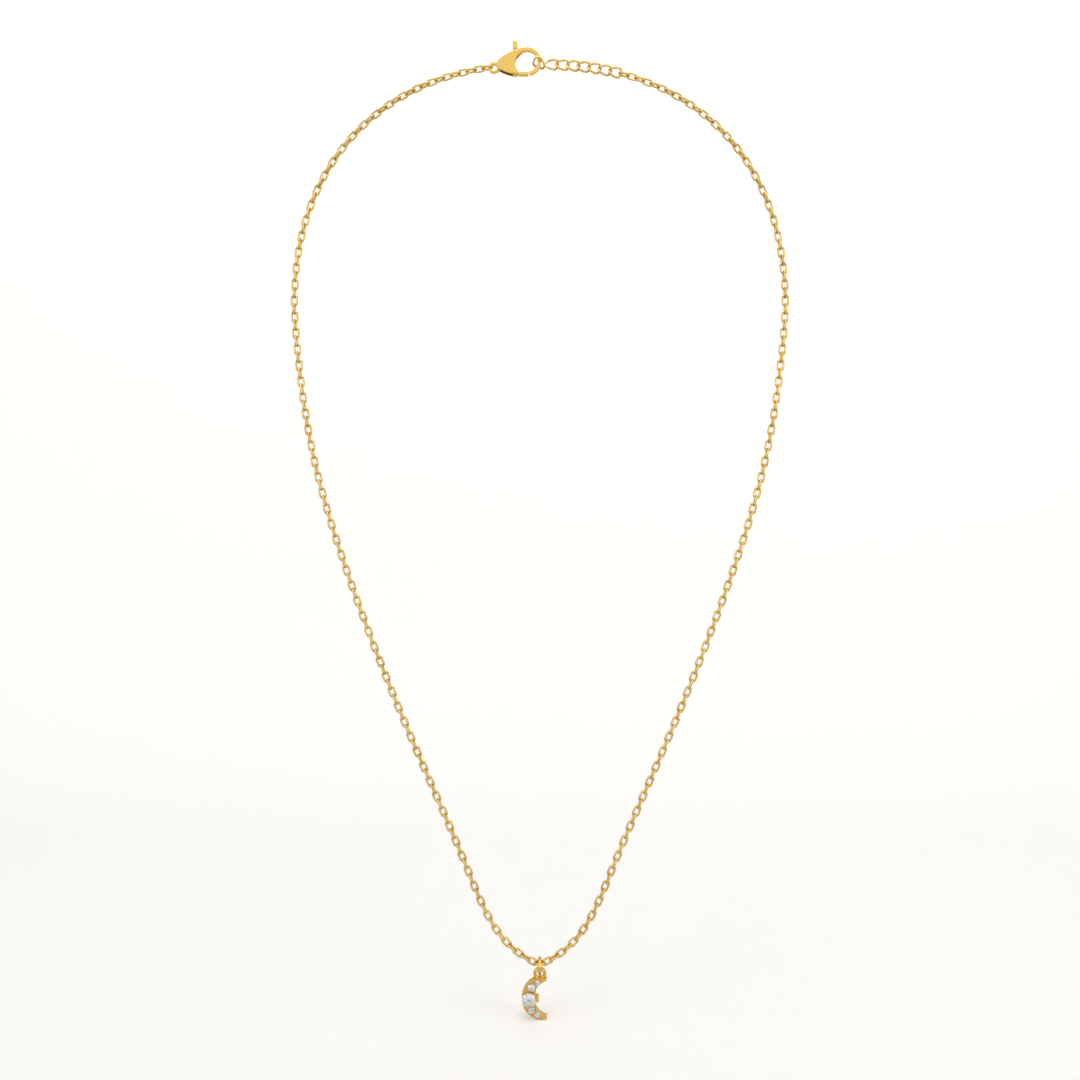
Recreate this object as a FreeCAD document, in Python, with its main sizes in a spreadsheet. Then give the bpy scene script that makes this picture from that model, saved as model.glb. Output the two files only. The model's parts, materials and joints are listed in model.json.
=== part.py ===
import FreeCAD, Part
import bisect
import math
import os
import Sketcher
from FreeCAD import Placement, Rotation, Vector

# A fine pendant necklace, hanging upright in the XZ plane and seen from -Y.
# The origin is the middle of the nape line, at the top of the loop.
# All lengths are in millimetres.

DIMENSIONS = {
    # the loop that the links lie along
    "loopHalfWidth": 50.7,
    "shoulderDrop": 50.8,
    "shoulderPower": 2.26,
    "loopDrop": 185.75,
    # cable chain
    "linkPitch": 1.674,
    "wireDia": 0.42,
    "linkWidth": 1.6,
    "barSize": 0.38,
    "hingeBar": 0.3,
    "linkShoulder": 0.52,
    # extender links
    "curbPitch": 2.2,
    "curbWire": 0.4,
    "curbWidth": 2.3,
    "curbTwist": 0.38,
    "curbSlack": 0.03,
    # clasp
    "claspDepth": 1.4,
    "hookDepth": 0.76,
    "slotWidth": 0.72,
    "leverDepth": 0.62,
    "gateDepth": 0.84,
    "gateEnd": 7.2,
    "gateTop": 0.96,
    "gateLow": 1.56,
    "knobLeft": 3.85,
    "knobRight": 4.85,
    "knobBase": 3.8,
    "knobTop": 5.1,
    "knobRound": 0.52,
    "eyeOuter": 1.1,
    "eyeDepth": 0.7,
    "eyeHole": 0.64,
    "hookOut": 6.9,
    "hookUp": 1.3,
    "hookOuter": 2.84,
    "hookInner": 2.14,
    "shoulderOut": 3.9,
    "shoulderUp": 3.2,
    "cheekLow": 1.52,
    "cheekRound": 9.0,
    "bellyRound": 10.0,
    "rivetOut": 4.3,
    "rivetDown": 1.0,
    "rivetRadius": 0.28,
    "rivetHead": 0.42,
    "rivetProud": 0.08,
    "rivetGap": 0.04,
    "springStrip": 0.12,
    "springReach": 3.74,
    # jump ring and pendant
    "ringRadius": 1.4,
    "ringWire": 0.4,
    "ringSlack": 0.03,
    "loopOuter": 1.35,
    "loopHole": 0.67,
    "loopDepth": 0.8,
    "loopLeft": 0.415,
    "loopUp": 5.0,
    "saddleGap": 0.006,
    "moonRadius": 4.13,
    "moonFront": 0.75,
    "moonBack": 1.05,
    "tipOut": 1.01,
    "tipOuter": 4.0,
    "tipInner": 3.8,
    "hornRound": 3.2,
    "bendOut": 1.25,
    "bendUp": 1.79,
    "postOut": 0.97,
    "postRadius": 0.38,
    "postRise": 0.55,
    "prongRadius": 0.13,
    "lowProng": 0.14,
    "tallProng": 0.5,
    "collarLift": 0.4,
    "collarInner": 1.26,
    "collarOuter": 1.42,
    "collarHeight": 0.2,
    "seatDepth": 0.25,
    "seatGap": 0.03,
}

# name, centre left of and above the crescent's centre, diameter, sides
STONES = [
    ("stone_top", 0.95, 3.32, 1.2, 8),
    ("stone_upper", 2.15, 2.28, 1.7, 8),
    ("stone_large", 2.69, 0.0, 2.95, 12),
    ("stone_lower", 2.15, -2.32, 1.55, 8),
    ("stone_bottom", 0.95, -3.32, 1.2, 8),
]

# parts of a stone's girdle radius: table radius, crown height, girdle height and pavilion depth
TABLE = 0.56
CROWN = 0.36
GIRDLE = 0.06
PAVILION = 0.86
# each stone's bore as a part of its diameter
BORE = 0.71

# half width and drop of the front of the loop, from the widest level down
FRONT_ROUTE = [(49.6, 63.0), (46.7, 80.9), (38.9, 107.2), (27.1, 137.6), (14.7, 166.6), (6.1, 181.9)]

# face-on links whose lower end is a hinge, counted up from the centre link
HINGE_LINKS = [83, 71, 57, 43, 29, 15]
LEFT_LINKS = 130
RIGHT_LINKS = 126
NECK_GROUPS = 3
EXTENDER_LINKS = 8
LINE_STEPS = 600

doc = FreeCAD.newDocument("Necklace")
sheet = doc.addObject("Spreadsheet::Sheet", "Sizes")
for row, (word, number) in enumerate(DIMENSIONS.items(), start=1):
    sheet.set(f"A{row}", word)
    sheet.set(f"B{row}", str(number))
    sheet.setAlias(f"B{row}", word)
doc.recompute()


class Size:
    """A length that knows both its value and the sheet expression behind it."""

    def __init__(self, value, text):
        self.value, self.text = value, text

    def join(self, sign, other, value):
        text = other.text if isinstance(other, Size) else repr(other)
        return Size(value, f"({self.text} {sign} {text})")

    def __add__(self, other):
        return self.join("+", other, self.value + number(other))

    def __sub__(self, other):
        return self.join("-", other, self.value - number(other))

    def __mul__(self, other):
        return self.join("*", other, self.value * number(other))

    def __truediv__(self, other):
        return self.join("/", other, self.value / number(other))

    def __neg__(self):
        return Size(-self.value, f"(0 - {self.text})")


def number(size):
    return size.value if isinstance(size, Size) else float(size)


def text(size):
    return size.text if isinstance(size, Size) else repr(float(size))


def dim(word):
    return Size(float(sheet.get(word)), f"Sizes.{word}")


def val(word):
    return float(sheet.get(word))


# Sketches and bodies

exported = {}


def keep(name, shaped):
    """Name a sub-part and remember it for export."""
    shaped.Label = name
    exported[name] = shaped
    return shaped


def add_sketch(body, name, plane, offset=None):
    origin = [o for o in body.Origin.OriginFeatures if o.Role == plane][0]
    sketch = body.newObject("Sketcher::SketchObject", name)
    sketch.AttachmentSupport = [(origin, "")]
    sketch.MapMode = "FlatFace"
    if offset is not None:
        sketch.setExpression("AttachmentOffset.Base.z", text(offset))
    return sketch


def pin_point(sketch, geometry, corner, point):
    """Hold one corner at its place by two named lengths."""
    for kind, length in zip(("DistanceX", "DistanceY"), point):
        index = sketch.addConstraint(Sketcher.Constraint(kind, -1, 1, geometry, corner, number(length)))
        if isinstance(length, Size):
            sketch.setExpression(f"Constraints[{index}]", length.text)


def arc_centre(start, end, radius):
    """Centre of an arc that turns left for a positive radius."""
    middle = (start + end) * 0.5
    chord = end - start
    height = math.sqrt(max(radius * radius - chord.Length**2 / 4, 0.0))
    left = Vector(-chord.y, chord.x, 0).normalize()
    return middle + left * math.copysign(height, radius)


def outline(sketch, corners):
    """Close a profile through corners: (x, z) or (x, z, radius of the arc that leads there)."""
    first = sketch.GeometryCount
    count = len(corners)
    for here in range(count):
        start = Vector(*[number(v) for v in corners[here - 1][:2]], 0)
        end = Vector(*[number(v) for v in corners[here][:2]], 0)
        if len(corners[here]) == 2:
            sketch.addGeometry(Part.LineSegment(start, end), False)
            continue
        radius = number(corners[here][2])
        centre = arc_centre(start, end, radius)
        angles = [math.atan2(p.y - centre.y, p.x - centre.x) for p in (start, end)]
        circle = Part.Circle(centre, Vector(0, 0, 1), abs(radius))
        if radius < 0:
            angles.reverse()
        sketch.addGeometry(Part.ArcOfCircle(circle, angles[0], angles[1]), False)
    ends = [(1, 2) if len(c) == 2 or number(c[2]) > 0 else (2, 1) for c in corners]
    for here in range(count):
        following = (here + 1) % count
        sketch.addConstraint(
            Sketcher.Constraint("Coincident", first + here, ends[here][1], first + following, ends[following][0])
        )
    for here, corner in enumerate(corners):
        pin_point(sketch, first + here, ends[here][1], corner[:2])
        if len(corner) == 3:
            radius = corner[2] if number(corner[2]) > 0 else -corner[2]
            index = sketch.addConstraint(Sketcher.Constraint("Radius", first + here, number(radius)))
            if isinstance(radius, Size):
                sketch.setExpression(f"Constraints[{index}]", radius.text)


def round_hole(sketch, point, radius):
    geometry = sketch.addGeometry(Part.Circle(Vector(number(point[0]), number(point[1]), 0),
                                              Vector(0, 0, 1), number(radius)), False)
    pin_point(sketch, geometry, 3, point)
    index = sketch.addConstraint(Sketcher.Constraint("Radius", geometry, number(radius)))
    if isinstance(radius, Size):
        sketch.setExpression(f"Constraints[{index}]", radius.text)


def faceted_hole(sketch, point, radius, sides):
    """A polygon whose flats touch a circle of the given radius."""
    corners = []
    for side in range(sides):
        turn = 2 * math.pi * (side + 0.5) / sides
        reach = radius * (1 / math.cos(math.pi / sides))
        corners.append((reach * math.cos(turn) + point[0], reach * math.sin(turn) + point[1]))
    outline(sketch, corners)


def pad(body, sketch, depth, both_ways=True, flip=False):
    feature = body.newObject("PartDesign::Pad", sketch.Name + "Pad")
    feature.Profile = sketch
    if both_ways:
        feature.SideType = "Symmetric"
    feature.Reversed = flip
    feature.setExpression("Length", text(depth))
    return feature


def pocket(body, sketch, depth, both_ways=True, flip=False):
    before = body.Shape.Volume
    feature = body.newObject("PartDesign::Pocket", sketch.Name + "Pocket")
    feature.Profile = sketch
    if both_ways:
        feature.SideType = "Symmetric"
    feature.Reversed = flip
    feature.setExpression("Length", text(depth))
    doc.recompute()
    if body.Shape.Volume > before - 1e-4:
        raise RuntimeError(f"{sketch.Name} cuts nothing")
    return feature


def new_body(name):
    return doc.addObject("PartDesign::Body", name)


# The loop's line

def front_line():
    """The right half of the front, from the centre link up to the widest level."""
    points = [Vector(0, 0, -val("loopDrop"))]
    points += [Vector(out, 0, -down) for out, down in reversed(FRONT_ROUTE)]
    points.append(Vector(val("loopHalfWidth"), 0, -val("shoulderDrop")))
    curve = Part.BSplineCurve()
    curve.interpolate(Points=points)
    return curve.discretize(Number=LINE_STEPS)


def shoulder_line():
    """The right shoulder, a rounded quarter from the widest level to the nape."""
    half, drop, power = val("loopHalfWidth"), val("shoulderDrop"), val("shoulderPower")
    turns = [math.pi / 2 * step / LINE_STEPS for step in range(1, LINE_STEPS + 1)]
    return [
        Vector(half * math.cos(t) ** (2 / power), 0, drop * math.sin(t) ** (2 / power) - drop)
        for t in turns
    ]


half_loop = front_line() + shoulder_line()
travel = [0.0]
for before, after in zip(half_loop, half_loop[1:]):
    travel.append(travel[-1] + (after - before).Length)
pitch = val("linkPitch")


def along_loop(distance):
    """The point of the right half, or past the nape of the left, at a distance from the bottom."""
    past_nape = distance > travel[-1]
    if past_nape:
        distance = 2 * travel[-1] - distance
    after = min(max(bisect.bisect(travel, distance), 1), len(travel) - 1)
    share = (distance - travel[after - 1]) / (travel[after] - travel[after - 1])
    point = half_loop[after - 1] * (1 - share) + half_loop[after] * share
    return Vector(-point.x, 0, point.z) if past_nape else point


def contact(count):
    """Where link number count touches the next one up."""
    return along_loop((count + 0.5) * pitch)


def link_ends(count, side):
    upper = contact(count)
    lower = contact(count - 1) if count else Vector(-upper.x, 0, upper.z)
    return [Vector(side * p.x, 0, p.z) for p in (lower, upper)]


def frame_of(centre, along, normal):
    """Place a piece with its X along one way and its Y along another."""
    x, y = along.normalize(), normal.normalize()
    return Placement(centre, Rotation(x, y, x.cross(y), "XYZ"))


def link_place(count, side):
    lower, upper = link_ends(count, side)
    along = upper - lower
    depth = Vector(0, 1, 0)
    normal = depth if count % 2 else along.cross(depth)
    return frame_of((lower + upper) * 0.5, along, normal)


# Cable chain

def link_body(name, bar):
    """A link lying in the XZ plane, long in X."""
    long_half = dim("linkPitch") / 2 + dim("wireDia") / 2 + bar / 2
    wide_half = dim("linkWidth") / 2
    hole_long = dim("linkPitch") / 2 + dim("wireDia") / 2 - bar / 2
    hole_wide = wide_half - dim("barSize")
    body = new_body(name)
    sketch = add_sketch(body, name + "Outline", "XZ_Plane")
    shoulder = dim("linkShoulder")
    outline(sketch, [
        (long_half, -shoulder), (long_half, shoulder), (0.0, wide_half),
        (-long_half, shoulder), (-long_half, -shoulder), (0.0, -wide_half),
    ])
    outline(sketch, [
        (hole_long, -hole_wide), (hole_long, hole_wide),
        (-hole_long, hole_wide), (-hole_long, -hole_wide),
    ])
    pad(body, sketch, bar)
    return body


plain_link = link_body("PlainLink", dim("barSize"))
hinge_link = link_body("HingeLink", dim("hingeBar"))
doc.recompute()


def chain_group(name, numbers, side):
    links = []
    for count in numbers:
        pattern = hinge_link if count in HINGE_LINKS else plain_link
        link = pattern.Shape.copy()
        link.Placement = link_place(count, side)
        links.append(link)
    group = doc.addObject("Part::Feature", name)
    group.Shape = Part.makeCompound(links)
    return keep(name, group)


def chain_strand(word, side, top):
    """Groups from the neck down, none of which crosses a hinge."""
    first = HINGE_LINKS[0]
    share = math.ceil((top - first + 1) / NECK_GROUPS)
    edges = [top + 1 - share * n for n in range(NECK_GROUPS)] + HINGE_LINKS + [1]
    for group, (high, low) in enumerate(zip(edges, edges[1:]), start=1):
        chain_group(f"{word}_chain_{group}", range(low, high), side)


chain_strand("left", -1, LEFT_LINKS)
chain_strand("right", 1, RIGHT_LINKS)


# Round wire bent into a closed loop, with flat facets

def wire_loop(centres, normal, radius, sides):
    """A closed tube through centres; the normal is the way out of the loop's plane."""
    count = len(centres)
    rings = []
    for here in range(count):
        ahead = (centres[(here + 1) % count] - centres[here - 1]).normalize()
        across = ahead.cross(normal).normalize()
        up = across.cross(ahead).normalize()
        ring = []
        for side in range(sides):
            turn = 2 * math.pi * (side + 0.5) / sides
            ring.append(centres[here] + across * (radius * math.cos(turn)) + up * (radius * math.sin(turn)))
        rings.append(ring)
    faces = []
    for here in range(count):
        there = (here + 1) % count
        for side in range(sides):
            after = (side + 1) % sides
            a, b = rings[here][side], rings[there][side]
            c, d = rings[there][after], rings[here][after]
            for corners in ((a, b, c), (a, c, d)):
                faces.append(Part.Face(Part.makePolygon([*corners, corners[0]])))
    solid = Part.makeSolid(Part.makeShell(faces))
    if solid.Volume < 0:
        solid.reverse()
    return solid


def oval_points(long_half, wide_half, stations):
    """A race-track oval in the XZ plane."""
    straight = long_half - wide_half
    points = []
    for station in range(stations):
        turn = 2 * math.pi * (station + 0.5) / stations
        shift = math.copysign(straight, math.cos(turn))
        points.append(Vector(shift + wide_half * math.cos(turn), 0, wide_half * math.sin(turn)))
    return points


def centre_link():
    half = (val("linkPitch") + val("wireDia")) / 2
    points = oval_points(half, (val("linkWidth") - val("wireDia")) / 2, 12)
    link = wire_loop(points, Vector(0, 1, 0), val("wireDia") / 2, 8)
    piece = doc.addObject("Part::Feature", "centre_link")
    piece.Shape = link
    piece.Placement = link_place(0, 1)
    return keep("centre_link", piece)


centre_link()


# Extender of curb links

def curb_link():
    """A twisted oval, so that a row of them lies flat."""
    wire = val("curbWire")
    long_half = (val("curbPitch") + wire) / 2 + val("curbSlack")
    wide_half = (val("curbWidth") - wire) / 2
    stations = 10
    points = []
    for station in range(stations):
        turn = 2 * math.pi * station / stations
        twist = -val("curbTwist") * math.sin(2 * turn)
        points.append(Vector(long_half * math.cos(turn), twist, wide_half * math.sin(turn)))
    return wire_loop(points, Vector(0, 1, 0), wire / 2, 4)


def extender_places():
    """From the right strand's last link back along the nape to the hook."""
    first = (RIGHT_LINKS + 0.5) * pitch + val("curbPitch") / 2 - val("curbSlack")
    places = []
    for link in range(EXTENDER_LINKS - 1):
        here = first + link * val("curbPitch")
        way = along_loop(here - 0.5) - along_loop(here + 0.5)
        places.append(frame_of(along_loop(here), way, Vector(0, 1, 0)))
    return places


HOOK_LINK_LEFT = 2.68
HOOK_LINK_UP = 0.2
HOOK_LINK_TURN = 50
HOOK_LINK_LEAN = 62

places = extender_places()
last = places[-1].Base
lean = Rotation(Vector(1, 0, 0), HOOK_LINK_LEAN) * Rotation(Vector(0, 1, 0), HOOK_LINK_TURN)
places.append(Placement(last + Vector(-HOOK_LINK_LEFT, 0, HOOK_LINK_UP), lean))
for step, place in enumerate(reversed(places), start=1):
    piece = doc.addObject("Part::Feature", f"extender_link_{step}")
    piece.Shape = curb_link()
    piece.Placement = place
    keep(f"extender_link_{step}", piece)


# Lobster clasp, drawn with its eye at the origin

CLASP_SAG = 25
END_SLACK = 0.04
HOOK_ROOT_ANGLE = 125
HOOK_TIP_ANGLE = -80
EYE_TOP_ANGLE = 62
EYE_LOW_ANGLE = -21

lower, upper = link_ends(LEFT_LINKS, -1)
pull = (upper - lower).normalize()
# the clasp hangs a little below the last link's line
eye_centre = upper + Rotation(Vector(0, 1, 0), CLASP_SAG) * pull * (val("eyeHole") - END_SLACK)
clasp_place = Placement(eye_centre, Rotation())


def hook_point(radius, angle):
    turn = math.radians(angle)
    return (dim("hookOut") + radius * math.cos(turn), dim("hookUp") + radius * math.sin(turn))


def eye_point(angle):
    turn = math.radians(angle)
    return (dim("eyeOuter") * math.cos(turn), dim("eyeOuter") * math.sin(turn))


def thin_both_sides(body, name, corners, depth):
    """Cut the front and the back inside an outline, so that this depth is left."""
    for word, side in (("Front", 1), ("Back", -1)):
        cut = add_sketch(body, word + name, "XZ_Plane", depth / 2 * side)
        outline(cut, corners)
        pocket(body, cut, dim("claspDepth"), both_ways=False, flip=side > 0)


def clasp_body():
    body = new_body("ClaspBody")
    sketch = add_sketch(body, "ClaspOutline", "XZ_Plane")
    eye, outer, inner = dim("eyeOuter"), dim("hookOuter"), dim("hookInner")
    cheek, low = dim("cheekRound"), -dim("cheekLow")
    outline(sketch, [
        (*eye_point(EYE_LOW_ANGLE), -dim("bellyRound")),
        (-eye, 0.0, -eye),
        (*eye_point(EYE_TOP_ANGLE), -eye),
        (dim("shoulderOut"), dim("shoulderUp"), -cheek),
        (*hook_point(outer, HOOK_ROOT_ANGLE), -cheek),
        (*hook_point(outer, 0), -outer),
        (*hook_point(outer, HOOK_TIP_ANGLE), -outer),
        hook_point(inner, HOOK_TIP_ANGLE),
        (*hook_point(inner, 0), inner),
        (*hook_point(inner, HOOK_ROOT_ANGLE), inner),
        (4.95, -0.85, 2.6),
        (4.9, -1.4),
        (dim("rivetOut"), low, -1.5),
    ])
    round_hole(sketch, (0.0, 0.0), dim("eyeHole"))
    round_hole(sketch, (dim("rivetOut"), -dim("rivetDown")), dim("rivetRadius"))
    pad(body, sketch, dim("claspDepth"))
    doc.recompute()
    # the lever's slot, open at the top for the stem and underneath for the gate
    slot = add_sketch(body, "LeverSlot", "XZ_Plane")
    outline(slot, [
        (1.15, -2.2), (1.15, 0.8), (2.3, 1.75), (2.3, 4.6), (5.2, 4.6), (5.2, -2.2),
    ])
    pocket(body, slot, dim("slotWidth"))
    thin_both_sides(body, "HookFlat", [(5.9, -2.0), (5.9, 4.6), (10.4, 4.6), (10.4, -2.0)], dim("hookDepth"))
    thin_both_sides(body, "EyeFlat", [(-2.0, -2.0), (-2.0, 2.0), (0.75, 2.0), (0.75, -2.0)], dim("eyeDepth"))
    body.Placement = clasp_place
    return keep("clasp_body", body)


def clasp_lever():
    """Thumb knob, stem, boss and gate in one piece, closed against the hook's tip."""
    body = new_body("ClaspLever")
    end, top, low = dim("gateEnd"), -dim("gateTop"), -dim("gateLow")
    left, right = dim("knobLeft"), dim("knobRight")
    base, crown, turn = dim("knobBase"), dim("knobTop"), -dim("knobRound")
    sketch = add_sketch(body, "LeverOutline", "XZ_Plane")
    outline(sketch, [
        (end, top), (end - 0.06, low), (4.6, -1.46), (3.8, -1.0, -0.52),
        (left, 3.6), (left, crown), (right, crown, turn), (right, 3.6),
        (4.3, 1.2), (4.3, 0.0), (4.95, top, 1.6),
    ])
    round_hole(sketch, (dim("rivetOut"), -dim("rivetDown")), dim("rivetRadius") + dim("rivetGap"))
    pad(body, sketch, dim("leverDepth"))
    gate = add_sketch(body, "GateBar", "XZ_Plane")
    outline(gate, [(end, top), (end - 0.06, low), (5.06, low), (5.06, top)])
    pad(body, gate, dim("gateDepth"))
    knob = add_sketch(body, "ThumbKnob", "XZ_Plane")
    outline(knob, [(left, base), (left, crown), (right, crown, turn), (right, base)])
    pad(body, knob, dim("gateDepth"))
    body.Placement = clasp_place
    return keep("clasp_lever", body)


def clasp_rivet():
    body = new_body("ClaspRivet")
    sketch = add_sketch(body, "RivetProfile", "XY_Plane")
    shank, head = dim("rivetRadius"), dim("rivetHead")
    face = dim("claspDepth") / 2
    outer = face + dim("rivetProud")
    outline(sketch, [
        (0.0, -outer), (head, -outer), (head, -face), (shank, -face),
        (shank, face), (head, face), (head, outer), (0.0, outer),
    ])
    turned = body.newObject("PartDesign::Revolution", "RivetTurned")
    turned.Profile = sketch
    turned.ReferenceAxis = (sketch, ["V_Axis"])
    turned.Angle = 360
    centre = Vector(val("rivetOut"), 0, -val("rivetDown"))
    body.Placement = Placement(clasp_place.Base + centre, Rotation())
    return keep("clasp_rivet", body)


def clasp_spring():
    """A bent strip between the closed end of the slot and the lever's stem."""
    body = new_body("ClaspSpring")
    sketch = add_sketch(body, "SpringStrip", "XZ_Plane")
    strip, reach = dim("springStrip"), dim("springReach")
    outline(sketch, [
        (1.17, -0.4), (1.17, 0.4), (1.7, 1.0, -0.75), (reach, 1.6),
        (reach, -strip + 1.6), (1.78, -strip + 1.0), (strip + 1.17, 0.4, 0.62), (strip + 1.17, -0.4),
    ])
    pad(body, sketch, dim("leverDepth"))
    body.Placement = clasp_place
    return keep("clasp_spring", body)


clasp_body()
clasp_lever()
clasp_rivet()
clasp_spring()


# Jump ring and pendant

wire_in_ring = val("ringRadius") - val("ringWire") - val("wireDia") / 2
link_half = (val("linkWidth") - val("wireDia")) / 2
ring_height = contact(0).z - math.sqrt(wire_in_ring**2 - link_half**2) - val("ringSlack")
ring_low = ring_height - val("ringRadius")
# the ring's wire curves up through the eye, so the eye rests on it at its two faces
wire_rise = val("ringRadius") - math.sqrt(val("ringRadius") ** 2 - (val("loopDepth") / 2) ** 2)
eye_height = ring_low + val("ringWire") - val("loopHole") + wire_rise + val("ringSlack")
pendant_place = Placement(Vector(val("loopLeft"), 0, eye_height - val("loopUp")), Rotation())


def jump_ring():
    """A round ring standing edge-on to the front, round the centre link."""
    stations = 24
    turns = [2 * math.pi * (station + 0.5) / stations for station in range(stations)]
    points = [Vector(0, math.cos(t), math.sin(t)) * val("ringRadius") for t in turns]
    ring = doc.addObject("Part::Feature", "jump_ring")
    ring.Shape = wire_loop(points, Vector(1, 0, 0), val("ringWire"), 8)
    ring.Placement = Placement(Vector(0, 0, ring_height), Rotation())
    return keep("jump_ring", ring)


jump_ring()


def neighbours(first, second):
    """Where a prong touches two stones at once, on either side of them."""
    reach = val("prongRadius") + 0.01
    a, b = Vector(-first[1], first[2], 0), Vector(-second[1], second[2], 0)
    near, far = first[3] / 2 + reach, second[3] / 2 + reach
    gap = (b - a).Length
    along = (gap**2 + near**2 - far**2) / (2 * gap)
    aside = math.sqrt(near**2 - along**2)
    way = (b - a).normalize()
    across = Vector(-way.y, way.x, 0)
    return [a + way * along + across * side * aside for side in (-1, 1)]


def crescent_setting():
    """A crescent open to the right, bored for its stones, with prongs between them."""
    body = new_body("Crescent")
    front, back = dim("moonFront"), dim("moonBack")
    radius, tip = dim("moonRadius"), dim("tipOut")
    sketch = add_sketch(body, "CrescentOutline", "XZ_Plane", front)
    outline(sketch, [
        (tip, dim("tipOuter")),
        (-radius, 0.0, radius),
        (tip, -dim("tipOuter"), radius),
        (tip, -dim("tipInner")),
        (-dim("bendOut"), -dim("bendUp"), -dim("hornRound")),
        (-dim("bendOut"), dim("bendUp")),
        (tip, dim("tipInner"), -dim("hornRound")),
    ])
    pad(body, sketch, front + back, both_ways=False, flip=True)
    post_top = front + dim("postRise")
    post = add_sketch(body, "StonePost", "XZ_Plane", post_top)
    round_hole(post, (-dim("postOut"), 0.0), dim("postRadius"))
    pad(body, post, post_top + back, both_ways=False, flip=True)
    doc.recompute()
    bores = add_sketch(body, "StoneBores", "XZ_Plane")
    for name, left, up, across, sides in STONES:
        faceted_hole(bores, (-left, up), BORE * across / 2, sides)
    pocket(body, bores, (front + back) * 2)
    seats = add_sketch(body, "StoneSeats", "XZ_Plane", front)
    for name, left, up, across, sides in STONES:
        if name != "stone_large":
            faceted_hole(seats, (-left, up), dim("seatGap") + across / 2, sides)
    pocket(body, seats, dim("seatDepth"), both_ways=False)
    notch = add_sketch(body, "PostNotch", "XZ_Plane", post_top)
    large = STONES[2]
    round_hole(notch, (-large[1], large[2]), dim("seatGap") + large[3] / 2)
    pocket(body, notch, dim("postRise"), both_ways=False)
    for name, pairs, rise in (("LowProngs", (0, 3), "lowProng"), ("TallProngs", (1, 2), "tallProng")):
        prongs = add_sketch(body, name, "XZ_Plane", front)
        for pair in pairs:
            for point in neighbours(STONES[pair], STONES[pair + 1]):
                faceted_hole(prongs, (point.x, point.y), dim("prongRadius"), 6)
        pad(body, prongs, dim(rise), both_ways=False)
    body.Placement = pendant_place
    return keep("crescent_setting", body)


def pendant_eye():
    """The ring soldered on the upper horn, hollowed where it sits on the horn."""
    body = new_body("EyeRing")
    sketch = add_sketch(body, "EyeOutline", "XZ_Plane")
    round_hole(sketch, (0.0, 0.0), dim("loopOuter"))
    round_hole(sketch, (0.0, 0.0), dim("loopHole"))
    pad(body, sketch, dim("loopDepth"))
    doc.recompute()
    saddle = add_sketch(body, "EyeSaddle", "XZ_Plane")
    round_hole(saddle, (dim("loopLeft"), -dim("loopUp")), dim("moonRadius") + dim("saddleGap"))
    pocket(body, saddle, dim("loopDepth") * 2)
    body.Placement = Placement(Vector(0, 0, eye_height), Rotation())
    return keep("pendant_eye", body)


def stone_seat():
    """The collet ring that lifts the large stone off the crescent's face."""
    body = new_body("StoneSeat")
    sketch = add_sketch(body, "SeatRing", "XZ_Plane", dim("moonFront"))
    large = STONES[2]
    for radius in (dim("collarOuter"), dim("collarInner")):
        round_hole(sketch, (-large[1], large[2]), radius)
    pad(body, sketch, dim("collarHeight"), both_ways=False)
    body.Placement = pendant_place
    return keep("large_stone_seat", body)


def brilliant(across, sides):
    """A round stone with its table towards -Y and its girdle's lower edge at zero."""
    girdle = across / 2
    levels = [(TABLE * girdle, -CROWN * girdle), (girdle, -GIRDLE * girdle), (girdle, 0.0)]
    rings = []
    for radius, depth in levels:
        turns = [2 * math.pi * side / sides for side in range(sides)]
        rings.append([Vector(radius * math.cos(t), depth, radius * math.sin(t)) for t in turns])
    faces = [Part.Face(Part.makePolygon(rings[0] + rings[0][:1]))]
    culet = Vector(0, PAVILION * girdle, 0)
    for side in range(sides):
        after = (side + 1) % sides
        for upper, lower in zip(rings, rings[1:]):
            corners = [upper[side], lower[side], lower[after], upper[after]]
            faces.append(Part.Face(Part.makePolygon(corners + corners[:1])))
        corners = [rings[2][side], culet, rings[2][after]]
        faces.append(Part.Face(Part.makePolygon(corners + corners[:1])))
    solid = Part.makeSolid(Part.makeShell(faces))
    if solid.Volume < 0:
        solid.reverse()
    return solid


crescent_setting()
pendant_eye()
stone_seat()
for name, left, up, across, sides in STONES:
    face = -val("moonFront")
    if name == "stone_large":
        girdle = face - val("collarLift")
    else:
        girdle = face + val("seatDepth") - (1 - BORE) * PAVILION * across / 2
    stone = doc.addObject("Part::Feature", name)
    stone.Shape = brilliant(across, sides)
    stone.Placement = Placement(pendant_place.Base + Vector(-left, girdle, up), Rotation())
    keep(name, stone)

doc.recompute()

# Every object must be sound before anything is written

for thing in doc.Objects:
    if {"Invalid", "Error"} & set(thing.State):
        raise RuntimeError(f"{thing.Label} did not compute: {thing.State}")
for name, piece in exported.items():
    if piece.Shape.isNull() or not piece.Shape.isValid():
        raise RuntimeError(f"{name} has no sound shape")

os.makedirs("parts", exist_ok=True)
for name, piece in exported.items():
    piece.Shape.exportStep(f"parts/{name}.step")
print(len(exported), "pieces,", sum(len(p.Shape.Solids) for p in exported.values()), "solids")
print("rivet at", *(round(v, 3) for v in (eye_centre.x + val("rivetOut"), eye_centre.z - val("rivetDown"))))
print("hook centre at", *(round(v, 3) for v in (eye_centre.x + val("hookOut"), eye_centre.z + val("hookUp"))))
print("ring centre", round(ring_height, 3), "eye centre", round(eye_height, 3))
for count in HINGE_LINKS:
    lower, upper = link_ends(count, 1)
    pivot = lower - (upper - lower).normalize() * (val("wireDia") / 2)
    print("hinge under link", count, "at", round(pivot.x, 3), round(pivot.z, 3))
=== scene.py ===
import json
import math

import bpy
import numpy as np
from mathutils import Matrix, Vector


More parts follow.
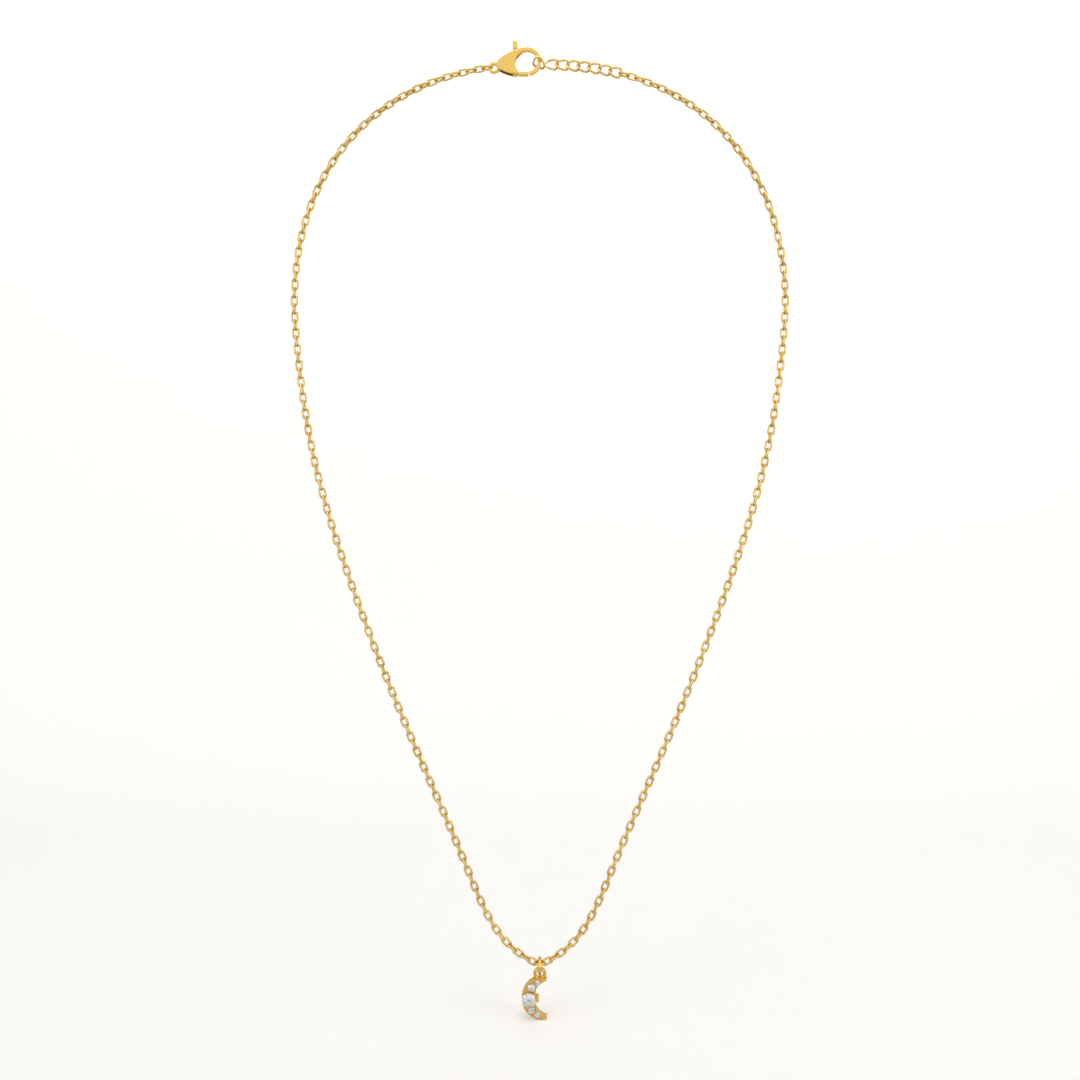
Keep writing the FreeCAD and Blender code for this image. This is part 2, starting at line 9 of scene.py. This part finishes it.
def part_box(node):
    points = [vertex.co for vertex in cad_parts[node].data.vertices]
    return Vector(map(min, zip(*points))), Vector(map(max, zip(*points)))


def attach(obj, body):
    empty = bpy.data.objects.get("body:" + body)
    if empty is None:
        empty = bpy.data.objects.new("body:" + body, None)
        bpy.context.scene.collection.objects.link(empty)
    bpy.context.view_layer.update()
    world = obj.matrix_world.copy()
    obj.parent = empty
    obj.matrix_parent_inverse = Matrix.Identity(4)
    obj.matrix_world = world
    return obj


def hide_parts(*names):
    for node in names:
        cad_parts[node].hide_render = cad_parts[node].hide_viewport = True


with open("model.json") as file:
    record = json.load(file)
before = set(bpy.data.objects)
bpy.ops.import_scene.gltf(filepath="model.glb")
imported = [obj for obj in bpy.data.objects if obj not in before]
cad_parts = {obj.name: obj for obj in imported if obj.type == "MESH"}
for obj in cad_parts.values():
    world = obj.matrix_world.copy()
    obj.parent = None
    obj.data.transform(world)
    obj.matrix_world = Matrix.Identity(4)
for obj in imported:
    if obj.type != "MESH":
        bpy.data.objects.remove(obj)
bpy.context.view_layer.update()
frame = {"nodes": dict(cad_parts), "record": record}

# Pieces are drawn in millimetres and scaled once, when they are put in place.
mm = 0.001
mergeGap = 0.001
nodes = frame["nodes"]


# select only these objects; the first becomes active
def pick(*objects):
    bpy.ops.object.select_all(action="DESELECT")
    for thing in objects:
        thing.hide_set(False)
        thing.select_set(True)
    bpy.context.view_layer.objects.active = objects[0]


# in edit mode, select the vertices for which wanted(co) is true
def selectVertices(piece, wanted):
    bpy.ops.object.mode_set(mode="EDIT")
    bpy.ops.mesh.select_mode(type="VERT")
    bpy.ops.mesh.select_all(action="DESELECT")
    bpy.ops.object.mode_set(mode="OBJECT")
    for vertex in piece.data.vertices:
        vertex.select = wanted(vertex.co)
    bpy.ops.object.mode_set(mode="EDIT")


# add a modifier and apply it
def finishModifier(piece, kind, **settings):
    pick(piece)
    modifier = piece.modifiers.new(kind.title(), kind)
    for word, value in settings.items():
        setattr(modifier, word, value)
    bpy.ops.object.modifier_apply(modifier=modifier.name)


# a copy with its own mesh, set at a place in mm
def copyOf(pattern, place, name):
    piece = bpy.data.objects.new(name, pattern.data.copy())
    bpy.context.scene.collection.objects.link(piece)
    piece.data.transform(Matrix.Scale(mm, 4) @ place)
    return piece


def joined(name, pieces):
    pick(*pieces)
    if len(pieces) > 1:
        bpy.ops.object.join()
    pieces[0].name = pieces[0].data.name = name
    return pieces[0]


# the node's solid as a closed mesh, in mm, and selected
def mergedCopy(node, name):
    piece = bpy.data.objects.new(name, nodes[node].data.copy())
    bpy.context.scene.collection.objects.link(piece)
    piece.data.transform(Matrix.Scale(1 / mm, 4))
    piece.data.materials.clear()
    pick(piece)
    bpy.ops.object.mode_set(mode="EDIT")
    bpy.ops.mesh.select_all(action="SELECT")
    bpy.ops.mesh.remove_doubles(threshold=mergeGap)
    bpy.ops.object.mode_set(mode="OBJECT")
    return piece


# where each solid of a node lies, in mm: X along its longest way, Z through its thinnest
def solidPlaces(node):
    mergedCopy(node, "loose")
    bpy.ops.object.mode_set(mode="EDIT")
    bpy.ops.mesh.select_all(action="SELECT")
    bpy.ops.mesh.separate(type="LOOSE")
    bpy.ops.object.mode_set(mode="OBJECT")
    places = []
    for part in list(bpy.context.selected_objects):
        points = np.array([vertex.co for vertex in part.data.vertices])
        centre = points.mean(0)
        ways = np.linalg.eigh(np.cov((points - centre).T))[1].T
        facing, along = Vector(ways[0]), Vector(ways[2])
        across = facing.cross(along)
        turn = Matrix((along, across, facing)).transposed().to_4x4()
        places.append(Matrix.Translation(centre) @ turn)
        mesh = part.data
        bpy.data.objects.remove(part)
        bpy.data.meshes.remove(mesh)
    return places


# the middle and the size of a node's box, in mm
def boxOf(node):
    low, high = (Vector(corner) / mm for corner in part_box(node))
    return (low + high) / 2, high - low


# Materials

def newMaterial(name):
    material = bpy.data.materials.new(name)
    material.use_nodes = True
    return material, material.node_tree, material.node_tree.nodes["Principled BSDF"]


# give a colour ramp these stops, each a position and a colour
def setStops(ramp, stops):
    while len(ramp.elements) > 1:
        ramp.elements.remove(ramp.elements[-1])
    ramp.elements[0].position = stops[0][0]
    ramp.elements[0].color = (*stops[0][1], 1)
    for position, tint in stops[1:]:
        ramp.elements.new(position).color = (*tint, 1)


metalLooks = {
    "chainGold": {
        "tint": (0.83, 0.605, 0.225), "deep": (0.71, 0.465, 0.12),
        "roughness": 0.22, "grain": 260, "dent": 0.15,
    },
    "claspGold": {
        "tint": (0.89, 0.6, 0.17), "deep": (0.86, 0.56, 0.145),
        "roughness": 0.28, "grain": 220, "dent": 0.05,
    },
    "brightGold": {
        "tint": (0.88, 0.59, 0.155), "deep": (0.76, 0.455, 0.075),
        "roughness": 0.16, "grain": 300, "dent": 0.12,
    },
    "springSteel": {
        "tint": (0.66, 0.65, 0.62), "deep": (0.52, 0.51, 0.5),
        "roughness": 0.32, "grain": 260, "dent": 0.1,
    },
}

# how the tone drifts, how much the roughness follows it, and the finer dents, with their depth in metres
metalSkin = {
    "detail": 3.0, "deepAt": 0.3, "tintAt": 0.65, "smoothest": 0.75, "roughest": 1.3,
    "finer": 6, "depth": 0.00002,
}


# polished metal with faint drifts of tone and a fine uneven skin
def metalMaterial(name, look, skin):
    material, tree, shader = newMaterial(name)
    shader.inputs["Metallic"].default_value = 1.0
    place = tree.nodes.new("ShaderNodeTexCoord")
    drift = tree.nodes.new("ShaderNodeTexNoise")
    drift.inputs["Scale"].default_value = look["grain"]
    drift.inputs["Detail"].default_value = skin["detail"]
    tones = tree.nodes.new("ShaderNodeValToRGB")
    setStops(tones.color_ramp, [(skin["deepAt"], look["deep"]), (skin["tintAt"], look["tint"])])
    shine = tree.nodes.new("ShaderNodeMapRange")
    shine.inputs["To Min"].default_value = look["roughness"] * skin["smoothest"]
    shine.inputs["To Max"].default_value = look["roughness"] * skin["roughest"]
    dents = tree.nodes.new("ShaderNodeTexNoise")
    dents.inputs["Scale"].default_value = look["grain"] * skin["finer"]
    bump = tree.nodes.new("ShaderNodeBump")
    bump.inputs["Strength"].default_value = look["dent"]
    bump.inputs["Distance"].default_value = skin["depth"]
    tree.links.new(place.outputs["Object"], drift.inputs["Vector"])
    tree.links.new(place.outputs["Object"], dents.inputs["Vector"])
    tree.links.new(drift.outputs["Fac"], tones.inputs["Fac"])
    tree.links.new(drift.outputs["Fac"], shine.inputs["Value"])
    tree.links.new(tones.outputs["Color"], shader.inputs["Base Color"])
    tree.links.new(shine.outputs["Result"], shader.inputs["Roughness"])
    tree.links.new(dents.outputs["Fac"], bump.inputs["Height"])
    tree.links.new(bump.outputs["Normal"], shader.inputs["Normal"])
    return material


# the size in mm of each patch of painted reflection, and how the list shares the patches out between
# painted white glints and painted pale grey, green, rose, violet and dark reflections
stoneLook = {
    "mirror": 0.5, "clear": 0.25, "roughness": 0.04, "bending": 2.2, "reflectionPatchSize": 0.34,
    "paintedReflections": [
        (0.0, (1.0, 1.0, 1.0)), (0.28, (0.78, 0.86, 0.82)), (0.42, (0.97, 0.97, 0.98)),
        (0.56, (0.9, 0.82, 0.9)), (0.66, (1.0, 0.98, 0.96)), (0.78, (0.36, 0.43, 0.4)),
        (0.88, (0.95, 0.97, 1.0)), (0.94, (0.7, 0.72, 0.85)),
    ],
}


# a white stone with painted reflections: its colour is painted in patches of white glints and pale grey,
# green, rose, violet and dark reflections
def stoneMaterial(name, look):
    material, tree, shader = newMaterial(name)
    shader.inputs["Roughness"].default_value = look["roughness"]
    shader.inputs["IOR"].default_value = look["bending"]
    shader.inputs["Metallic"].default_value = look["mirror"]
    shader.inputs["Transmission Weight"].default_value = look["clear"]
    place = tree.nodes.new("ShaderNodeTexCoord")
    reflectionPatches = tree.nodes.new("ShaderNodeTexVoronoi")
    reflectionPatches.inputs["Scale"].default_value = 1 / (look["reflectionPatchSize"] * mm)
    split = tree.nodes.new("ShaderNodeSeparateColor")
    # this ramp paints the glints and reflections into the stone's colour, patch by patch
    tones = tree.nodes.new("ShaderNodeValToRGB")
    tones.color_ramp.interpolation = "CONSTANT"
    setStops(tones.color_ramp, look["paintedReflections"])
    tree.links.new(place.outputs["Object"], reflectionPatches.inputs["Vector"])
    tree.links.new(reflectionPatches.outputs["Color"], split.inputs["Color"])
    tree.links.new(split.outputs["Red"], tones.inputs["Fac"])
    tree.links.new(tones.outputs["Color"], shader.inputs["Base Color"])
    return material


metals = {name: metalMaterial(name, look, metalSkin) for name, look in metalLooks.items()}

# the material of each slot
finishes = {
    "chain_gold": metals["chainGold"],
    "clasp_gold": metals["claspGold"],
    "polished_gold": metals["brightGold"],
    "clear_stone": stoneMaterial("clearStone", stoneLook),
}
print("materials ready")


# put a piece on its body, in its finish, in place of a node's solid
def dress(piece, body, slot, node):
    piece.data.materials.clear()
    piece.data.materials.append(finishes[slot])
    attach(piece, body)
    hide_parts(node)


# Cable chain

linkSizes = {"wire": 0.46, "width": 1.62, "pitch": 1.674, "around": 14, "across": 6}


# a race-track link of round wire, long in X and lying in the XY plane
def chainLink(sizes):
    ring = (sizes["width"] - sizes["wire"]) / 2
    bpy.ops.mesh.primitive_torus_add(
        major_radius=ring, minor_radius=sizes["wire"] / 2,
        major_segments=sizes["around"], minor_segments=sizes["across"],
    )
    link = bpy.context.object
    straight = (sizes["pitch"] + sizes["wire"]) / 2 - ring
    for way in (-1, 1):
        selectVertices(link, lambda co: co.x * way > 0)
        bpy.ops.transform.translate(value=(way * straight, 0, 0))
    bpy.ops.object.mode_set(mode="OBJECT")
    bpy.ops.object.shade_smooth()
    return link


def chainPieces():
    pattern = chainLink(linkSizes)
    made = 0
    for body, members in frame["record"]["behaviour"]["bodies"].items():
        for node in members:
            if "chain" not in node and node != "centre_link":
                continue
            links = [copyOf(pattern, place, "link") for place in solidPlaces(node)]
            made += len(links)
            dress(joined(node + "_wire", links), body, "chain_gold", node)
    bpy.data.objects.remove(pattern)
    print("chain links", made)


chainPieces()


# Extender

# still is half the stretch at a link's middle that stays put; twist is in degrees
curbSizes = {
    "links": 8, "wire": 0.49, "width": 2.38, "pitch": 2.2, "reach": 0.44, "still": 0.05, "twist": 78,
    "around": 28, "across": 10,
}


# an oval link twisted along its length, so that a row of them lies flat
def curbLink(sizes):
    longHalf = (sizes["pitch"] + sizes["reach"]) / 2
    wideHalf = (sizes["width"] - sizes["wire"]) / 2
    bpy.ops.mesh.primitive_torus_add(
        major_radius=wideHalf, minor_radius=sizes["wire"] / 2,
        major_segments=sizes["around"], minor_segments=sizes["across"],
    )
    link = bpy.context.object
    for way in (-1, 1):
        selectVertices(link, lambda co: co.x * way > sizes["still"])
        bpy.ops.transform.translate(value=(way * (longHalf - wideHalf), 0, 0))
    bpy.ops.object.mode_set(mode="OBJECT")
    turn = math.radians(sizes["twist"])
    finishModifier(link, "SIMPLE_DEFORM", deform_method="TWIST", deform_axis="X", angle=turn)
    bpy.ops.object.shade_smooth()
    return link


def extenderPieces():
    pattern = curbLink(curbSizes)
    for step in range(1, curbSizes["links"] + 1):
        node = f"extender_link_{step}"
        piece = joined(node + "_wire", [copyOf(pattern, place, "curb") for place in solidPlaces(node)])
        dress(piece, "neck_loop", "chain_gold", node)
    bpy.data.objects.remove(pattern)
    print("extender links", curbSizes["links"])


extenderPieces()


# Clasp, rivet, setting and collet: castings with their edges worn round

castSizes = {
    "clasp_body": {"voxel": 0.045, "soften": 4, "slot": "clasp_gold", "body": "neck_loop"},
    "clasp_rivet": {"voxel": 0.03, "soften": 3, "slot": "clasp_gold", "body": "neck_loop"},
    "clasp_lever": {"voxel": 0.03, "soften": 4, "slot": "clasp_gold", "body": "clasp_lever"},
    "crescent_setting": {"voxel": 0.042, "soften": 3, "slot": "polished_gold", "body": "pendant"},
    "large_stone_seat": {"voxel": 0.022, "soften": 3, "slot": "polished_gold", "body": "pendant"},
}
softenShare = 0.5


def castPiece(node, sizes):
    piece = mergedCopy(node, node + "_cast")
    finishModifier(piece, "REMESH", mode="VOXEL", voxel_size=sizes["voxel"], use_smooth_shade=True)
    finishModifier(piece, "SMOOTH", factor=softenShare, iterations=sizes["soften"])
    piece.data.transform(Matrix.Scale(mm, 4))
    dress(piece, sizes["body"], sizes["slot"], node)
    print(node, "faces", len(piece.data.polygons))


for node, sizes in castSizes.items():
    castPiece(node, sizes)


# Jump ring and pendant eye, both of round section

ringSides = {"around": 56, "across": 20}
ringSizes = {
    "jump_ring": {"radius": 1.4, "wire": 0.74, "flat": 1.0, "way": "Y", "body": "ring"},
    "pendant_eye": {"radius": 1.01, "wire": 0.68, "flat": 1.25, "way": "X", "body": "pendant"},
}


# a ring whose top is level with the solid's; flat stretches its wire along the ring's axis
def ringPiece(node, sizes):
    bpy.ops.mesh.primitive_torus_add(
        major_radius=sizes["radius"], minor_radius=sizes["wire"] / 2,
        major_segments=ringSides["around"], minor_segments=ringSides["across"],
    )
    ring = bpy.context.object
    bpy.ops.object.shade_smooth()
    middle, size = boxOf(node)
    height = middle.z + size.z / 2 - sizes["radius"] - sizes["wire"] / 2
    place = Matrix.Translation((middle.x, middle.y, height))
    turn = Matrix.Rotation(math.pi / 2, 4, sizes["way"])
    piece = copyOf(ring, place @ turn @ Matrix.Diagonal((1, 1, sizes["flat"], 1)), node + "_ring")
    bpy.data.objects.remove(ring)
    dress(piece, sizes["body"], "polished_gold", node)


for node, sizes in ringSizes.items():
    ringPiece(node, sizes)
print("rings made")


# Stones: a table, stars, kites, a thin girdle and a pointed back

cutLevels = [
    # radius and height as parts of the girdle's radius, points, first point's share of a step
    (0.56, 0.36, 8, 0.5), (0.8, 0.22, 8, 0.0), (1.0, 0.06, 16, 0.5), (1.0, 0.0, 16, 0.5),
    (0.5, -0.45, 8, 0.0), (0.02, -0.86, 8, 0.0),
]


# a cut stone with a girdle of radius 1, its table towards Z
def cutStone():
    circles = []
    for radius, height, points, share in cutLevels:
        turn = 2 * math.pi * share / points
        bpy.ops.mesh.primitive_circle_add(vertices=points, radius=radius)
        circle = bpy.context.object
        circle.data.transform(Matrix.Translation((0, 0, height)) @ Matrix.Rotation(turn, 4, "Z"))
        circles.append(circle)
    stone = joined("cut", circles)
    bpy.ops.object.mode_set(mode="EDIT")
    bpy.ops.mesh.select_all(action="SELECT")
    bpy.ops.mesh.convex_hull()
    bpy.ops.mesh.normals_make_consistent(inside=False)
    bpy.ops.object.mode_set(mode="OBJECT")
    return stone


# each stone as wide as its solid, with its table level with the solid's front
def stonePieces():
    pattern = cutStone()
    facing = Matrix.Rotation(math.pi / 2, 4, "X")
    tableHeight = cutLevels[0][1]
    for word in ("top", "upper", "large", "lower", "bottom"):
        node = "stone_" + word
        middle, size = boxOf(node)
        radius = size.x / 2
        girdle = middle.y - size.y / 2 + tableHeight * radius
        place = Matrix.Translation((middle.x, girdle, middle.z)) @ facing @ Matrix.Scale(radius, 4)
        dress(copyOf(pattern, place, node + "_cut"), "pendant", "clear_stone", node)
    bpy.data.objects.remove(pattern)
    print("stones cut")


stonePieces()

# The spring is shown by its own solid, in steel.
for slot in nodes["clasp_spring"].material_slots:
    slot.material = metals["springSteel"]


# A paper sweep: floor, curve and wall in one sheet

# in mm: the gap under the crescent, half the width, the front edge, the bend's start and radius, the wall
sweepSizes = {"under": 0.15, "half": 1400, "front": -650, "bend": 109, "curve": 80, "top": 900, "steps": 20}

# the camera sees the glow, which changes from glowFront on the floor to glowTop behind the bend
paperLook = {
    "roughness": 0.75, "gloss": 0.2, "fibre": 3.0, "glowFront": -170, "glowTop": 320,
    "tones": [(0.0, (0.885, 0.88, 0.865)), (1.0, (0.9, 0.895, 0.88))],
    "glow": [
        (0.0, (0.24, 0.24, 0.25)), (0.355, (0.28, 0.28, 0.285)), (0.55, (0.37, 0.365, 0.355)),
        (0.97, (0.42, 0.41, 0.4)),
    ],
}


# pale paper; the camera also sees a little light of its own in it, so it reads as white
def paperMaterial(look, floor, bend):
    material, tree, shader = newMaterial("sweepPaper")
    shader.inputs["Roughness"].default_value = look["roughness"]
    shader.inputs["Specular IOR Level"].default_value = look["gloss"]
    place = tree.nodes.new("ShaderNodeTexCoord")
    fibre = tree.nodes.new("ShaderNodeTexNoise")
    fibre.inputs["Scale"].default_value = look["fibre"]
    tones = tree.nodes.new("ShaderNodeValToRGB")
    setStops(tones.color_ramp, look["tones"])
    tree.links.new(place.outputs["Object"], fibre.inputs["Vector"])
    tree.links.new(fibre.outputs["Fac"], tones.inputs["Fac"])
    tree.links.new(tones.outputs["Color"], shader.inputs["Base Color"])
    # how far back and up on the sheet
    parts = tree.nodes.new("ShaderNodeSeparateXYZ")
    along = tree.nodes.new("ShaderNodeMath")
    reach = tree.nodes.new("ShaderNodeMapRange")
    reach.inputs["From Min"].default_value = (look["glowFront"] + floor) * mm
    reach.inputs["From Max"].default_value = (bend + look["glowTop"]) * mm
    seen = tree.nodes.new("ShaderNodeValToRGB")
    setStops(seen.color_ramp, look["glow"])
    tree.links.new(place.outputs["Object"], parts.inputs["Vector"])
    tree.links.new(parts.outputs["Y"], along.inputs[0])
    tree.links.new(parts.outputs["Z"], along.inputs[1])
    tree.links.new(along.outputs["Value"], reach.inputs["Value"])
    tree.links.new(reach.outputs["Result"], seen.inputs["Fac"])
    glow = tree.nodes.new("ShaderNodeEmission")
    tree.links.new(seen.outputs["Color"], glow.inputs["Color"])
    rays = tree.nodes.new("ShaderNodeLightPath")
    lit = tree.nodes.new("ShaderNodeMixShader")
    both = tree.nodes.new("ShaderNodeAddShader")
    tree.links.new(shader.outputs["BSDF"], both.inputs[0])
    tree.links.new(glow.outputs["Emission"], both.inputs[1])
    tree.links.new(rays.outputs["Is Camera Ray"], lit.inputs["Fac"])
    tree.links.new(shader.outputs["BSDF"], lit.inputs[1])
    tree.links.new(both.outputs["Shader"], lit.inputs[2])
    # from behind, the sheet is clear and hides nothing
    side = tree.nodes.new("ShaderNodeNewGeometry")
    clear = tree.nodes.new("ShaderNodeBsdfTransparent")
    faced = tree.nodes.new("ShaderNodeMixShader")
    tree.links.new(side.outputs["Backfacing"], faced.inputs["Fac"])
    tree.links.new(lit.outputs["Shader"], faced.inputs[1])
    tree.links.new(clear.outputs["BSDF"], faced.inputs[2])
    tree.links.new(faced.outputs["Shader"], tree.nodes["Material Output"].inputs["Surface"])
    return material


def makeSweep(sizes):
    crescent, size = boxOf("crescent_setting")
    floor = crescent.z - size.z / 2 - sizes["under"]
    bpy.ops.mesh.primitive_plane_add(size=2)
    sheet = bpy.context.object
    depth = sizes["bend"] - sizes["front"]
    middle = (sizes["bend"] + sizes["front"]) / 2
    spread = Matrix.Diagonal((sizes["half"], depth / 2, 1, 1))
    sheet.data.transform(Matrix.Translation((0, middle, floor)) @ spread)
    selectVertices(sheet, lambda co: co.y > middle)
    pivot = (0, sizes["bend"], floor + sizes["curve"])
    bpy.ops.mesh.spin(steps=sizes["steps"], angle=-math.pi / 2, center=pivot, axis=(1, 0, 0))
    bpy.ops.mesh.extrude_region_move(TRANSFORM_OT_translate={"value": (0, 0, sizes["top"])})
    bpy.ops.mesh.select_all(action="SELECT")
    bpy.ops.mesh.normals_make_consistent(inside=True)
    bpy.ops.object.mode_set(mode="OBJECT")
    bpy.ops.object.shade_smooth()
    sheet.data.transform(Matrix.Scale(mm, 4))
    sheet.name = "paperSweep"
    sheet.data.materials.append(paperMaterial(paperLook, floor, sizes["bend"]))
    print("sweep floor at", round(floor, 2))


makeSweep(sweepSizes)


# Light

# places and sizes in mm, power in watts
lampSizes = {
    "topLamp": {
        "place": (45, -130, 420), "aim": (0, 30, -100), "size": 330,
        "power": 0.88, "tint": (1.0, 0.985, 0.95),
    },
    "leftLamp": {
        "place": (-420, -260, 60), "aim": (0, 0, -100), "size": 320,
        "power": 0.34, "tint": (1.0, 0.98, 0.95),
    },
    "rightLamp": {
        "place": (430, -240, 20), "aim": (0, 0, -100), "size": 320,
        "power": 0.36, "tint": (1.0, 0.98, 0.95),
    },
}


def softLamp(name, sizes):
    bpy.ops.object.light_add(type="AREA", location=[v * mm for v in sizes["place"]])
    lamp = bpy.context.object
    lamp.name = name
    lamp.data.size = sizes["size"] * mm
    lamp.data.energy = sizes["power"]
    lamp.data.color = sizes["tint"]
    way = Vector(sizes["aim"]) - Vector(sizes["place"])
    lamp.rotation_euler = way.to_track_quat("-Z", "Y").to_euler()


for name, sizes in lampSizes.items():
    softLamp(name, sizes)

# shades is what mirrors see from front to back; it fades to below between the heights level and low
worldSizes = {
    "fill": 0.42, "fillTint": (1.0, 0.985, 0.95),
    "backdrop": 0.97, "backdropTint": (1.0, 0.995, 0.98),
    "shades": [(0.0, (1.0, 1.0, 1.0)), (0.4, (0.8, 0.8, 0.8)), (0.62, (0.5, 0.5, 0.5))],
    "below": 0.35, "low": -0.4, "level": -0.04,
}


# even fill light; polished metal sees a bright front that dims to the sides and below
def makeWorld(sizes):
    world = bpy.data.worlds.new("studio")
    world.use_nodes = True
    tree = world.node_tree
    fill = tree.nodes["Background"]
    fill.inputs["Color"].default_value = (*sizes["fillTint"], 1)
    fill.inputs["Strength"].default_value = sizes["fill"]
    seen = tree.nodes.new("ShaderNodeBackground")
    way = tree.nodes.new("ShaderNodeTexCoord")
    parts = tree.nodes.new("ShaderNodeSeparateXYZ")
    depth = tree.nodes.new("ShaderNodeMapRange")
    depth.inputs["From Min"].default_value = -1
    shades = tree.nodes.new("ShaderNodeValToRGB")
    setStops(shades.color_ramp, sizes["shades"])
    height = tree.nodes.new("ShaderNodeMapRange")
    height.inputs["From Min"].default_value = sizes["low"]
    height.inputs["From Max"].default_value = sizes["level"]
    height.inputs["To Min"].default_value = sizes["below"]
    rays = tree.nodes.new("ShaderNodeLightPath")
    mirrored = tree.nodes.new("ShaderNodeMath")
    mirrored.operation = "MAXIMUM"
    mixed = tree.nodes.new("ShaderNodeMixShader")
    backdrop = tree.nodes.new("ShaderNodeBackground")
    backdrop.inputs["Color"].default_value = (*sizes["backdropTint"], 1)
    backdrop.inputs["Strength"].default_value = sizes["backdrop"]
    shown = tree.nodes.new("ShaderNodeMixShader")
    tree.links.new(way.outputs["Generated"], parts.inputs["Vector"])
    tree.links.new(parts.outputs["Y"], depth.inputs["Value"])
    tree.links.new(parts.outputs["Z"], height.inputs["Value"])
    tree.links.new(depth.outputs["Result"], shades.inputs["Fac"])
    tree.links.new(shades.outputs["Color"], seen.inputs["Color"])
    tree.links.new(height.outputs["Result"], seen.inputs["Strength"])
    tree.links.new(rays.outputs["Is Glossy Ray"], mirrored.inputs[0])
    tree.links.new(rays.outputs["Is Transmission Ray"], mirrored.inputs[1])
    tree.links.new(mirrored.outputs["Value"], mixed.inputs["Fac"])
    tree.links.new(fill.outputs["Background"], mixed.inputs[1])
    tree.links.new(seen.outputs["Background"], mixed.inputs[2])
    tree.links.new(rays.outputs["Is Camera Ray"], shown.inputs["Fac"])
    tree.links.new(mixed.outputs["Shader"], shown.inputs[1])
    tree.links.new(backdrop.outputs["Background"], shown.inputs[2])
    tree.links.new(shown.outputs["Shader"], tree.nodes["World Output"].inputs["Surface"])
    bpy.context.scene.world = world


makeWorld(worldSizes)
bpy.context.scene.view_settings.view_transform = "Standard"
print("lights set")


# Camera

viewSizes = {"place": (0.04, -173.35, -98.14), "lens": 28, "sensor": 36, "near": 10}


def makeCamera(sizes):
    bpy.ops.object.camera_add(location=[v * mm for v in sizes["place"]], rotation=(math.pi / 2, 0, 0))
    camera = bpy.context.object
    camera.data.lens = sizes["lens"]
    camera.data.sensor_width = sizes["sensor"]
    camera.data.clip_start = sizes["near"] * mm
    bpy.context.scene.camera = camera


makeCamera(viewSizes)
